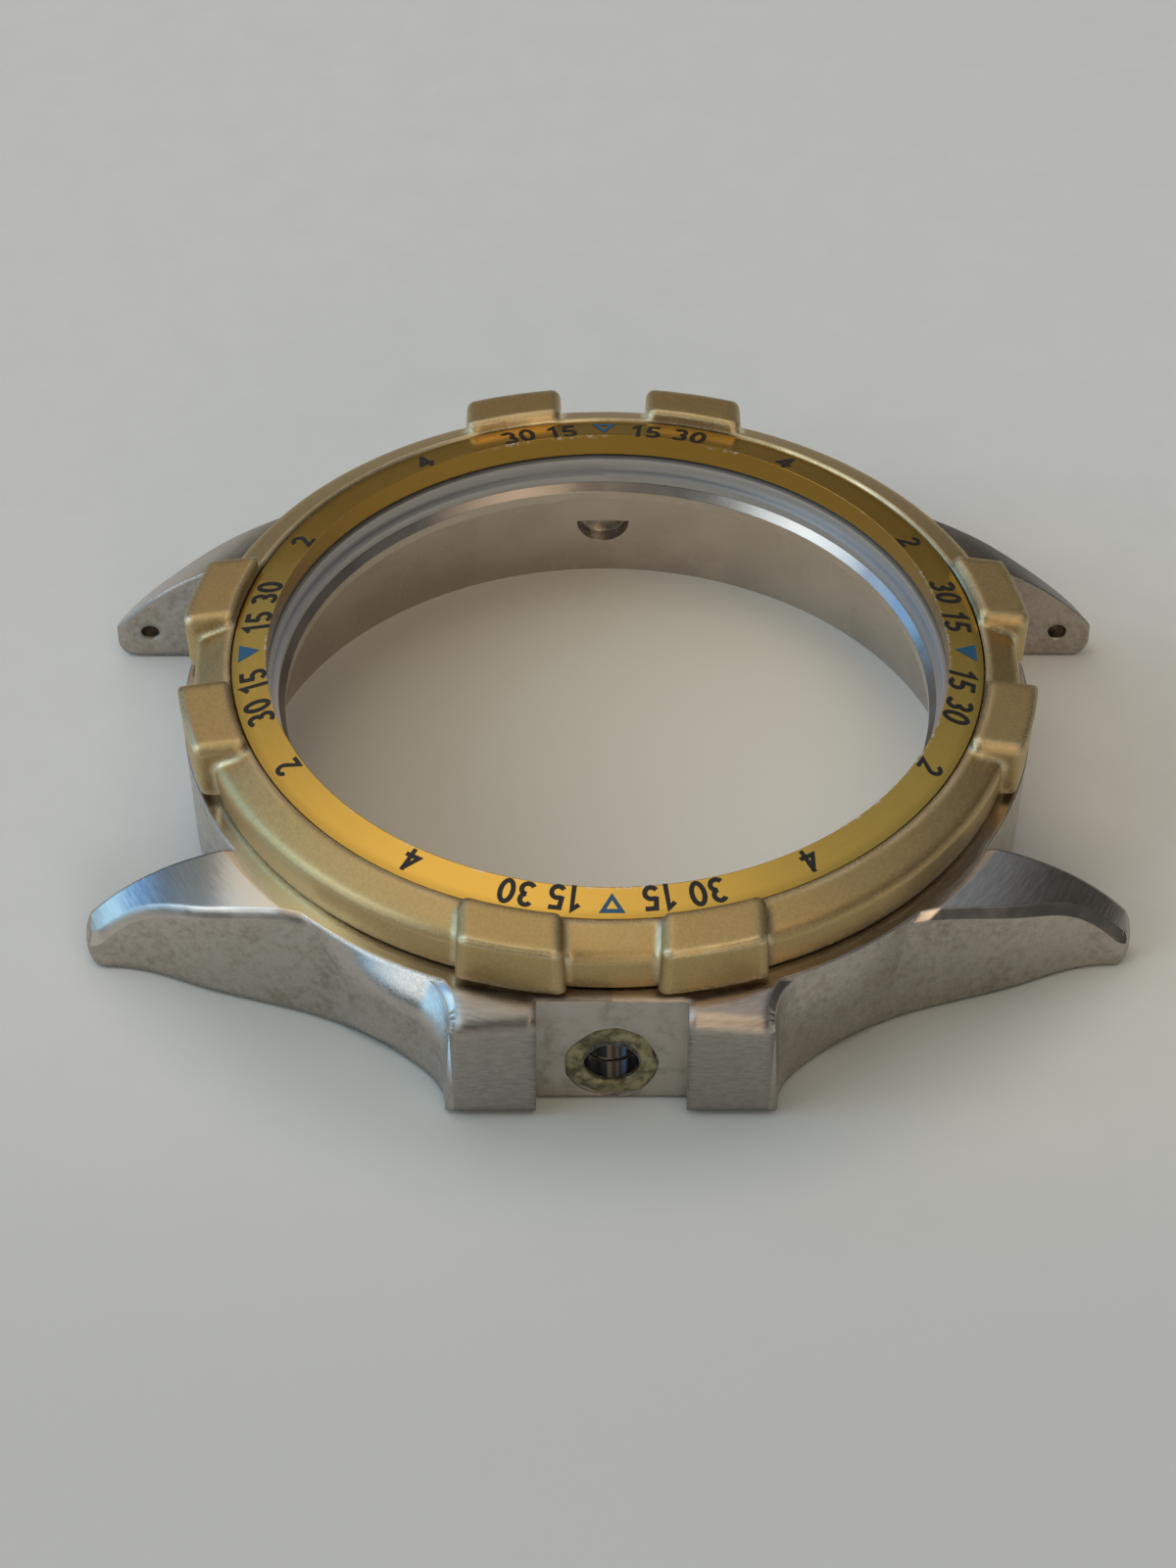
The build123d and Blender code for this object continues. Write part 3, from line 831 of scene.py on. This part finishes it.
# (share of the way from bore to edge, depth out of the wall, share of the ripple)
brazing_section = (
    (0.0, -0.25 * mm, 0.0), (0.0, 0.0, 0.0), (0.12, 0.035 * mm, 0.5), (0.5, 0.05 * mm, 1.0),
    (0.85, 0.03 * mm, 0.8), (0.98, -0.01 * mm, 0.2), (1.0, -0.08 * mm, 0.0), (0.97, -0.25 * mm, 0.0),
)

# Waves round the edge and in the ripple: (height, how many go round, start in radians)
edge_waves = ((0.07 * mm, 3, 1.0), (0.03 * mm, 8, 0.0), (0.02 * mm, 13, 0.7))
ripple_waves = ((0.018 * mm, 5, 0.5), (0.012 * mm, 11, 0.0))


def with_waves(base, angle, waves):
    """A base with waves added: each is its height times the sine of its count times the angle plus its start."""
    for height, count, start in waves:
        base = base + height * np.sin(count * angle + start)
    return base


def brazing_lump(material):
    """Brazing round the crown tube: a flat ring closed both ways, whose outer edge is a worn polygon.

    Ring surface: at each angle the section runs from the bore out to the edge and back into the wall.
    The edge's radius lies between a circle's and a seven-sided polygon's, with waves added, and the
    section's height has a ripple of two waves.
    """
    around = np.linspace(0, 2 * math.pi, brazing_turns, endpoint=False)
    side = 2 * math.pi / brazing_sides
    polygon = math.cos(side / 2) / np.cos((around + brazing_turned) % side - side / 2)
    middle = (braze_low.z + braze_high.z) / 2
    edge = brazing_edge * (1 - brazing_angular + brazing_angular * polygon)
    edge = with_waves(edge, around, edge_waves)
    ripple = with_waves(0.0, around, ripple_waves)
    face = tube_high.x + brazing_proud
    rings = []
    for share, depth, waves in brazing_section:
        radius = brazing_bore + (edge - brazing_bore) * share
        out = face + depth + ripple * waves
        rings.append(np.column_stack([out, radius * np.sin(around), middle + radius * np.cos(around)]))
    row, turn = np.meshgrid(np.arange(len(rings)), np.arange(brazing_turns), indexing="ij")
    next_row = (row + 1) % len(rings) * brazing_turns
    next_turn = (turn + 1) % brazing_turns
    row = row * brazing_turns
    faces = np.stack([row + turn, next_row + turn, next_row + next_turn, row + next_turn], axis=-1)
    piece = new_piece("brazing_ring", np.vstack(rings), faces.reshape(-1, 4), "case")
    piece.data.materials.append(material)
    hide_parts("crown_tube_braze")
    return piece


# Print on the insert: digits in shares of their height, and how far they sit from the ring's middle

quarter = math.pi / 2
digit_width = 0.60
digit_gap = 0.07
stroke_width = 0.175
sharpest_mitre = 0.5
small_numeral = 0.92
print_shift = 0.12 * mm

# Triangles: height as a share of the side, and the hole's size and shift as shares of the triangle

triangle_height = 0.9
triangle_hole = 0.45
triangle_hole_shift = 0.07

# Numbers beside each triangle, and those between two triangles: (degrees from the triangle, number)
pair_numbers = ((7.2, "15"), (14.7, "30"))
single_numbers = ((28.7, "2"), (57.8, "4"))


def arc(middle_x, middle_y, radius_x, radius_y, start, end, steps=14):
    """Points of a part of an ellipse, from one angle in degrees to another.

    Each is the middle plus the two radii times the angle's cosine and sine.
    """
    angle = np.radians(np.linspace(start, end, steps))
    return np.column_stack([middle_x + radius_x * np.cos(angle), middle_y + radius_y * np.sin(angle)])


# Middle lines of the digits, one unit high
digit_strokes = {
    "0": [arc(0.30, 0.5, 0.21, 0.415, 0, 360, 33)],
    "1": [np.array([(0.20, 0.74), (0.42, 0.94), (0.42, 0.0)])],
    "2": [np.vstack([arc(0.29, 0.68, 0.20, 0.235, 165, -35), [(0.10, 0.09), (0.56, 0.09)]])],
    "3": [arc(0.27, 0.70, 0.19, 0.215, 150, -85), arc(0.27, 0.295, 0.22, 0.21, 85, -150)],
    "4": [np.array([(0.42, 0.0), (0.42, 1.0)]), np.array([(0.44, 0.93), (0.08, 0.31), (0.64, 0.31)])],
    "5": [np.vstack([[(0.53, 0.915), (0.17, 0.915), (0.13, 0.54)], arc(0.28, 0.31, 0.22, 0.225, 110, -150)])],
}


def insert_inner_radius():
    """Radius of the printed ring's inner edge, read from its node's vertices."""
    vertices = node_vertices("bezel_insert")
    return float(np.hypot(vertices[:, 0], vertices[:, 1]).min())


def ring_middle():
    """(radius, height) of the middle of the ring's sloping top, and its slope in radians."""
    vertices = node_vertices("bezel_insert")
    radius = np.hypot(vertices[:, 0], vertices[:, 1])
    outer = radius.max()
    inner = radius.min()
    near = 0.01 * mm
    outer_top = vertices[radius > outer - near, 2].max()
    inner_top = vertices[radius < inner + near, 2].max()
    slope = math.atan2(inner_top - outer_top, outer - inner)
    return ((outer + inner) / 2, (outer_top + inner_top) / 2), slope


def ring_surface(points, turn, rise):
    """Flat print laid on the sloping ring.

    A flat point is (across, up): up runs towards the case axis, across runs round it. Up is taken
    along the slope from the middle of the ring, and across as an angle at the middle's radius.
    """
    middle, slope = ring_middle()
    up = points[:, 1]
    angle = turn + points[:, 0] / middle[0]
    radius = middle[0] - up * math.cos(slope) + rise * math.sin(slope)
    height = middle[1] + up * math.sin(slope) + rise * math.cos(slope)
    return np.stack([radius * np.cos(angle), radius * np.sin(angle), height], axis=1)


def stroke_strip(path, width):
    """A line carried along a path as a flat strip with mitred corners, as (points, quads).

    Each point moves to both sides by half the width, along the mitre of the two steps that meet
    there; the two rows are joined by quads. On a closed path the first and last steps meet.
    """
    step = np.diff(path, axis=0)
    step /= np.linalg.norm(step, axis=1)[:, None]
    closed = np.allclose(path[0], path[-1])
    before = np.vstack([step[-1:] if closed else step[:1], step])
    after = np.vstack([step, step[:1] if closed else step[-1:]])
    side = np.column_stack([-(before + after)[:, 1], (before + after)[:, 0]])
    side /= np.linalg.norm(side, axis=1)[:, None]
    square = np.column_stack([-before[:, 1], before[:, 0]])
    reach = width / 2 / np.maximum(sharpest_mitre, (side * square).sum(axis=1))
    points = np.vstack([path + side * reach[:, None], path - side * reach[:, None]])
    first = np.arange(len(path) - 1)
    return points, np.column_stack([first, first + 1, first + 1 + len(path), first + len(path)])


def digits_mesh(text, height):
    """Flat mesh of plain numbers, centred, as (points, quads): a strip for each stroke of each digit."""
    points = []
    quads = []
    count = 0
    for place, digit in enumerate(text):
        for path in digit_strokes[digit]:
            strip, faces = stroke_strip(path + (place * (digit_width + digit_gap), 0.0), stroke_width)
            points.append(strip)
            quads.append(faces + count)
            count += len(strip)
    points = np.vstack(points)
    points = points - (points.min(0) + points.max(0)) / 2
    return points * height - (0.0, print_shift), np.vstack(quads)


def face_up(mesh):
    """Turns a flat mesh so that its faces look up."""
    _, normal = face_facts(mesh)
    if normal[:, 2].mean() < 0:
        mesh.flip_normals()


def lay_print(name, flat, faces, turn, material):
    """A flat print laid on the ring."""
    surface = ring_surface(flat, turn, sizes().print_rise)
    piece = new_piece(name, surface, faces, "bezel", smooth=False)
    require(len(piece.data.polygons) > 0, name)
    face_up(piece.data)
    piece.data.materials.append(material)
    return piece


def triangle_print(name, turn, side, hollow, material):
    """A triangle that points to the case axis, solid or as an outline.

    The outline runs from the three corners to the same corners drawn in towards the middle.
    """
    height = side * triangle_height
    outer = np.array([(-side / 2, -height / 2), (side / 2, -height / 2), (0.0, height / 2)])
    if not hollow:
        return lay_print(name, outer, [(0, 1, 2)], turn, material)
    inner = outer * triangle_hole + (0.0, -height * triangle_hole_shift)
    ring = [(a, (a + 1) % 3, 3 + (a + 1) % 3, 3 + a) for a in range(3)]
    return lay_print(name, np.vstack([outer, inner]), ring, turn, material)


def print_numbers(numbers, axis, label, height, ink):
    """Prints numbers on both sides of an axis of the ring, their tops outward and read clockwise."""
    for side, letter in ((-1, "a"), (1, "b")):
        for place, text in numbers:
            points, faces = digits_mesh(text, height)
            turn = axis + side * math.radians(place)
            lay_print(f"print_{text}_{label}_{letter}", -points, faces, turn, ink)


class WATCH_OT_print(bpy.types.Operator):
    """Numbers and triangles printed on the ring"""

    bl_idname = "watch_case.print"
    bl_label = "Print"

    def execute(self, context):
        ink = print_ink("black_ink", colours().ink)
        blue = print_ink("blue_ink", colours().blue_ink)
        tall = sizes().numeral_height
        for number in range(4):
            hollow = number % 2 == 0
            triangle_print(f"triangle_{number + 1}", quarter * number, sizes().triangle_side, hollow, blue)
            print_numbers(pair_numbers, quarter * number, number + 1, tall, ink)
        # The single numbers stand beside the triangles at twelve and at six o'clock
        for number in (1, 3):
            print_numbers(single_numbers, quarter * number, number, tall * small_numeral, ink)
        return {"FINISHED"}


# Stage

camera_place = (0.15368, -0.00291, 0.14398)
camera_forward = (-0.7316, 0.0097, -0.6816)
camera_roll = math.radians(0.43)
camera_lens = 100.8
camera_sensor = 36.0
camera_clip = (0.01, 10.0)

lamp_place = (0.21, -0.62, 0.42)
lamp_target = (0.0, 0.0, 0.005)
lamp_size = (0.46, 0.36)
lamp_power = 0.88
lamp_colour = (0.86, 0.97, 1.0)

paper_reach = 0.9
paper_back = 0.42
paper_bend = 0.12
paper_height = 0.30
paper_bend_steps = 24
# Painted shade: dark grey of the rising backdrop
shaded_backdrop = (0.24, 0.23, 0.22)

# Places over which the paper changes, as (from, to)
camera_shade_x = (5.0 * mm, 40.0 * mm)
close_reach = (28.5 * mm, 21.5 * mm)
close_x = (0.0, 9.0 * mm)
inside_reach = (19.0 * mm, 15.0 * mm)
inside_y = (-15.0 * mm, 12.0 * mm)
backdrop_z = (5.0 * mm, 60.0 * mm)

# Colours of the room; light ones go over 1
dark_wall = (0.075, 0.070, 0.064)
near_wall = (0.10, 0.10, 0.097)
pink_wall = (0.60, 0.47, 0.37)
grey_wall = (0.29, 0.33, 0.38)
ceiling = (1.20, 1.04, 0.78)
sky_window = (0.52, 0.66, 0.80)
ceiling_lamp = (1.8, 1.4, 1.0)
low_lamp = (1.7, 1.35, 0.95)
blue_window = (0.20, 0.55, 1.25)
hazy_window = (0.88, 1.60, 2.20)
white_window = (1.05, 1.20, 1.25)

# Directions in the room, and how near to one a colour starts and is full
overhead_axis = (-0.12, -0.26, 0.96)
far_wall_edge = (0.3, 0.75)
ceiling_edge = (0.75, 1.0)
pink_axis = (-0.72, -0.08, 0.69)
pink_edge = (0.94, 0.99)
near_axis = (1.0, 0.0, 0.0)
near_wall_edge = (0.1, 0.6)
left_axis = (-0.55, -0.84, 0.0)
left_near_axis = (0.45, -0.89, 0.0)

# Round patches of light: (axis, start, full, colour)
round_lights = (
    ((0.06, -0.69, 0.72), 0.90, 0.97, sky_window),
    ((0.395, 0.331, 0.857), 0.962, 0.99, ceiling_lamp),
    ((0.919, 0.195, 0.342), 0.955, 0.985, low_lamp),
)
# Upright windows: (axis, start, full, heights between which the foot and the head fade, colour)
windows = (
    (left_axis, 0.5, 0.75, (0.03, 0.10), (0.52, 0.40), blue_window),
    (left_axis, 0.5, 0.75, (0.03, 0.10), (0.34, 0.22), hazy_window),
    (left_near_axis, 0.90, 0.96, (0.20, 0.34), (0.68, 0.60), white_window),
)


def paper_material():
    """Smooth paper with a faint mottle.

    Painted shade towards the camera and close in front of the case; painted shade and bounced light in a
    gradient from warm grey to cream within the case; a dark grey wall of painted shade where the sheet rises.
    """
    n = Finish("paper")
    mottle = n.noise(n.place, scale=330.0, detail=5.0, roughness=0.6)
    broad = n.noise(n.place, scale=14.0, detail=2.0)
    paper = colours().paper
    x, y, z = n.split()
    distance = n.radius()
    tone = n.mix(n.ramp(mottle, *noise_range), shade(paper, 0.985), shade(paper, 1.015))
    tone = n.mix(n.ramp(broad, *noise_range, 0.0, 0.25), tone, shade(paper, 0.96))
    # Painted shade: darker towards the camera.
    tone = n.mix(n.ramp(x, *camera_shade_x), tone, shade(paper, 0.87))
    # Painted shade close in front of the case.
    close = n.times(n.ramp(distance, *close_reach), n.ramp(x, *close_x))
    tone = n.mix(close, tone, shade(paper, (0.72, 0.76, 0.77)))
    # Painted shade on the left and painted bounced light on the right, within the case.
    inside = n.mix(n.ramp(y, *inside_y), shade(paper, (0.84, 0.79, 0.70)), shade(paper, (1.06, 1.0, 0.92)))
    tone = n.mix(n.ramp(distance, *inside_reach), tone, inside)
    return n.made(
        # Painted shade where the sheet rises.
        Base_Color=n.mix(n.ramp(z, *backdrop_z), tone, shaded_backdrop),
        Roughness=0.75,
        Normal=n.bump(mottle, depth=0.03 * mm, strength=0.25),
    )


def paper_sheet():
    """Ground and backdrop in one sheet.

    A straight line on the ground, a quarter circle up and a short straight wall, carried sideways.
    """
    sweep = np.linspace(0, math.pi / 2, paper_bend_steps)
    bend = np.column_stack([-paper_bend * np.sin(sweep) - paper_back, paper_bend * (1 - np.cos(sweep))])
    profile = np.vstack([[(paper_reach, 0.0)], bend, [(-paper_back - paper_bend, paper_height)]])
    left = np.column_stack([profile[:, 0], np.full(len(profile), -paper_reach), profile[:, 1]])
    first = np.arange(len(profile) - 1)
    faces = np.column_stack([first, first + 1, first + 1 + len(profile), first + len(profile)])
    sheet = new_piece("paper_sheet", np.vstack([left, left * (1, -1, 1)]), faces, None)
    face_up(sheet.data)
    sheet.data.materials.append(paper_material())


def aimed(direction):
    """The turn of a lamp or a camera that looks along a direction."""
    return Vector(direction).to_track_quat("-Z", "Y").to_matrix().to_4x4()


def window_lamp():
    """The rectangular lamp on the left, aimed at the case."""
    data = bpy.data.lights.new("window", "AREA")
    data.shape = "RECTANGLE"
    data.size, data.size_y = lamp_size
    data.energy = lamp_power
    data.color = lamp_colour
    lamp = bpy.data.objects.new("window", data)
    bpy.context.scene.collection.objects.link(lamp)
    lamp.matrix_world = Matrix.Translation(lamp_place) @ aimed(Vector(lamp_target) - Vector(lamp_place))


def room_world():
    """Room round the part, told by direction.

    Dark low down, a grey wall with a pinkish patch above that, a dim wall behind the camera and a warm
    ceiling straight up. On these lie a pale window high on the left, a warm ceiling lamp and a low one
    near the camera, a long blue window low on the left with haze along its foot, and a white window
    beside the camera.
    """
    world = bpy.data.worlds.new("room")
    world.use_nodes = True
    n = Nodes(world.node_tree, "Generated")
    overhead = n.towards(overhead_axis)
    far_wall = n.mix(n.ramp(n.towards(pink_axis), *pink_edge), grey_wall, pink_wall)
    room = n.mix(n.ramp(overhead, *far_wall_edge), dark_wall, far_wall)
    room = n.mix(n.ramp(n.towards(near_axis), *near_wall_edge), room, near_wall)
    peak = n.ramp(overhead, *ceiling_edge, kind="LINEAR")
    room = n.mix(n.times(peak, peak), room, ceiling)
    for axis, start, full, colour in round_lights:
        room = n.mix(n.ramp(n.towards(axis), start, full), room, colour)
    height = n.towards((0.0, 0.0, 1.0))
    for axis, start, full, foot, head, colour in windows:
        share = n.times(n.ramp(height, *foot), n.ramp(height, *head), n.ramp(n.towards(axis), start, full))
        room = n.mix(share, room, colour)
    n.put(n.tree.nodes["Background"].inputs["Color"], room)
    bpy.context.scene.world = world


def new_camera():
    """The camera at the photograph's place."""
    data = bpy.data.cameras.new("camera")
    data.lens = camera_lens
    data.sensor_width = camera_sensor
    data.clip_start, data.clip_end = camera_clip
    camera = bpy.data.objects.new("camera", data)
    bpy.context.scene.collection.objects.link(camera)
    roll = Matrix.Rotation(camera_roll, 4, "Z")
    camera.matrix_world = Matrix.Translation(camera_place) @ aimed(camera_forward) @ roll
    bpy.context.scene.camera = camera


class WATCH_OT_stage(bpy.types.Operator):
    """Paper, lamp, room and camera"""

    bl_idname = "watch_case.stage"
    bl_label = "Stage"

    def execute(self, context):
        paper_sheet()
        room_world()
        window_lamp()
        new_camera()
        require(context.scene.camera and context.scene.world, "the stage")
        context.scene.view_settings.view_transform = "Standard"
        return {"FINISHED"}


class WATCH_PT_panel(bpy.types.Panel):
    """Panel that lists the pieces"""

    bl_label = "Watch Case"
    bl_idname = "WATCH_PT_panel"
    bl_space_type = "VIEW_3D"
    bl_region_type = "UI"
    bl_category = "Watch Case"

    def draw(self, context):
        column = self.layout.column()
        for group in (colours(), sizes()):
            for key in group.__annotations__:
                column.prop(group, key)
        for operator in operators:
            column.operator(operator.bl_idname)


operators = (WATCH_OT_case, WATCH_OT_bezel, WATCH_OT_small_parts, WATCH_OT_print, WATCH_OT_stage)
classes = (CaseColours, CaseSizes, *operators, WATCH_PT_panel)


def register():
    """Registers the classes and the scene's properties."""
    for each in classes:
        bpy.utils.register_class(each)
    bpy.types.Scene.watch_case_colours = bpy.props.PointerProperty(type=CaseColours)
    bpy.types.Scene.watch_case_sizes = bpy.props.PointerProperty(type=CaseSizes)


def unregister():
    """Takes back what register did."""
    del bpy.types.Scene.watch_case_sizes
    del bpy.types.Scene.watch_case_colours
    for each in reversed(classes):
        bpy.utils.unregister_class(each)


def main():
    """Makes every piece and the stage."""
    register()
    for operator in operators:
        getattr(bpy.ops.watch_case, operator.bl_idname.split(".")[1])()


if __name__ == "__main__":
    main()
